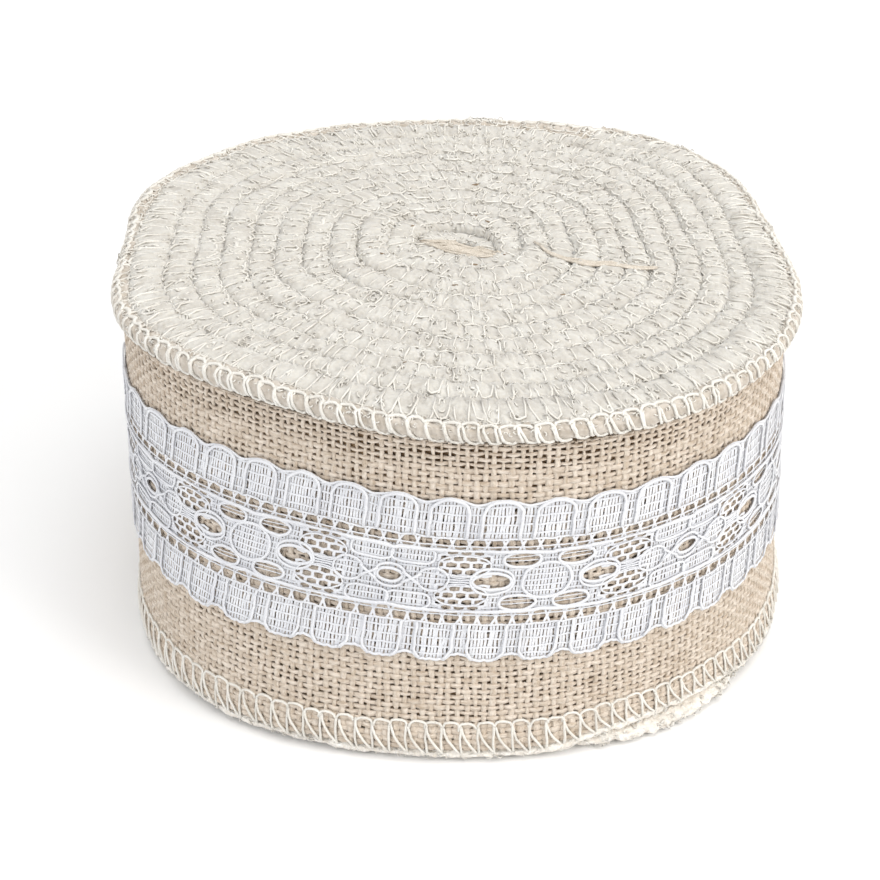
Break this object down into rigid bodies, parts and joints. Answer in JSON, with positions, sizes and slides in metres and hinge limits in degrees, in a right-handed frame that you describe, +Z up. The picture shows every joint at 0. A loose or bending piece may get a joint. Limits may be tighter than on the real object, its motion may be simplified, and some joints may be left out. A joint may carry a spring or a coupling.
{
  "type": "roll of burlap lace ribbon",
  "caption": "Coreless roll of natural burlap ribbon with overlocked edges and a white lace trim sewn along its middle, standing on its end.",
  "frame": {"origin": "centre of the flat lower end that the roll stands on", "axes": "+Z up through the roll, from the lower end to the wound upper end; -Y towards the front, +Y towards the back, where the ribbon's free end lies"},
  "size_m": [0.1109, 0.1172, 0.06],
  "materials": {
    "burlap": "natural undyed jute burlap, plain weave, matte and slightly hairy",
    "lace": "white synthetic lace, matte with a faint sheen on its outline cords",
    "thread": "off-white spun sewing thread, soft and matte"
  },
  "bodies": {
    "root": {"burlap_roll": "burlap", "lace_trim": "lace"}
  },
  "joints": []
}
